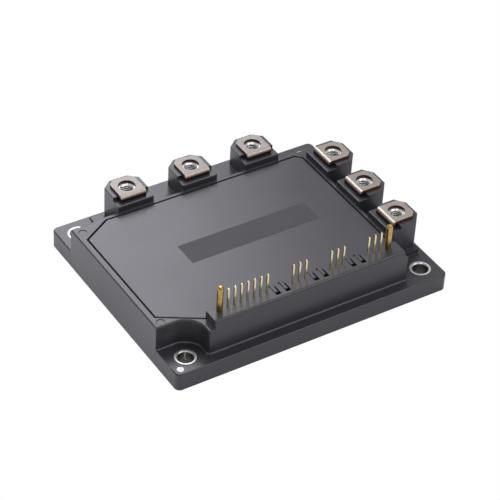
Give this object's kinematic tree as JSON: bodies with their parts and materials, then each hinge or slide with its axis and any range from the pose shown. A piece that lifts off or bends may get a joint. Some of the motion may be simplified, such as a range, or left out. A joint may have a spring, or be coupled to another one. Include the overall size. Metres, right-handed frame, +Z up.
{
  "type": "igbt module",
  "caption": "Flat power semiconductor module in a moulded case with screw terminals along two sides, a guided row of square control pins and a metal cooling plate.",
  "frame": {"origin": "middle of the cooling face", "axes": "+X along the long side towards the supply terminals, +Y from the control pins to the output terminals, +Z up out of the lid"},
  "size_m": [0.109, 0.088, 0.0302],
  "materials": {
    "base_plate": "satin nickel plate on copper",
    "board": "green solder mask",
    "case": "fine textured charcoal moulding",
    "ceramic": "white ceramic",
    "collar": "bright zinc plated steel",
    "control_pin": "gold plated",
    "copper": "bare copper",
    "driver_chip": "black moulding compound",
    "guide_pin": "drawn brass",
    "lid": "fine textured charcoal moulding",
    "nut": "zinc plated steel",
    "silicon": "silicon with a metal face",
    "terminal": "matte nickel plate on copper"
  },
  "bodies": {
    "root": {"back_copper_u": "copper", "back_copper_v": "copper", "back_copper_w": "copper", "base_plate": "base_plate", "case": "case", "ceramic_u": "ceramic", "ceramic_v": "ceramic", "ceramic_w": "ceramic", "collar_front_left": "collar", "collar_front_right": "collar", "collar_rear_left": "collar", "collar_rear_right": "collar", "control_board": "board", "control_pin_01": "control_pin", "control_pin_02": "control_pin", "control_pin_03": "control_pin", "control_pin_04": "control_pin", "control_pin_05": "control_pin", "control_pin_06": "control_pin", "control_pin_07": "control_pin", "control_pin_08": "control_pin", "control_pin_09": "control_pin", "control_pin_10": "control_pin", "control_pin_11": "control_pin", "control_pin_12": "control_pin", "control_pin_13": "control_pin", "control_pin_14": "control_pin", "control_pin_15": "control_pin", "control_pin_16": "control_pin", "diode_chips_u": "silicon", "diode_chips_v": "silicon", "diode_chips_w": "silicon", "driver_chips": "driver_chip", "guide_pin_left": "guide_pin", "guide_pin_right": "guide_pin", "igbt_chips_u": "silicon", "igbt_chips_v": "silicon", "igbt_chips_w": "silicon", "lid": "lid", "nut_b": "nut", "nut_n": "nut", "nut_p": "nut", "nut_u": "nut", "nut_v": "nut", "nut_w": "nut", "terminal_b": "terminal", "terminal_n": "terminal", "terminal_p": "terminal", "terminal_u": "terminal", "terminal_v": "terminal", "terminal_w": "terminal", "tracks_u": "copper", "tracks_v": "copper", "tracks_w": "copper"}
  },
  "joints": []
}
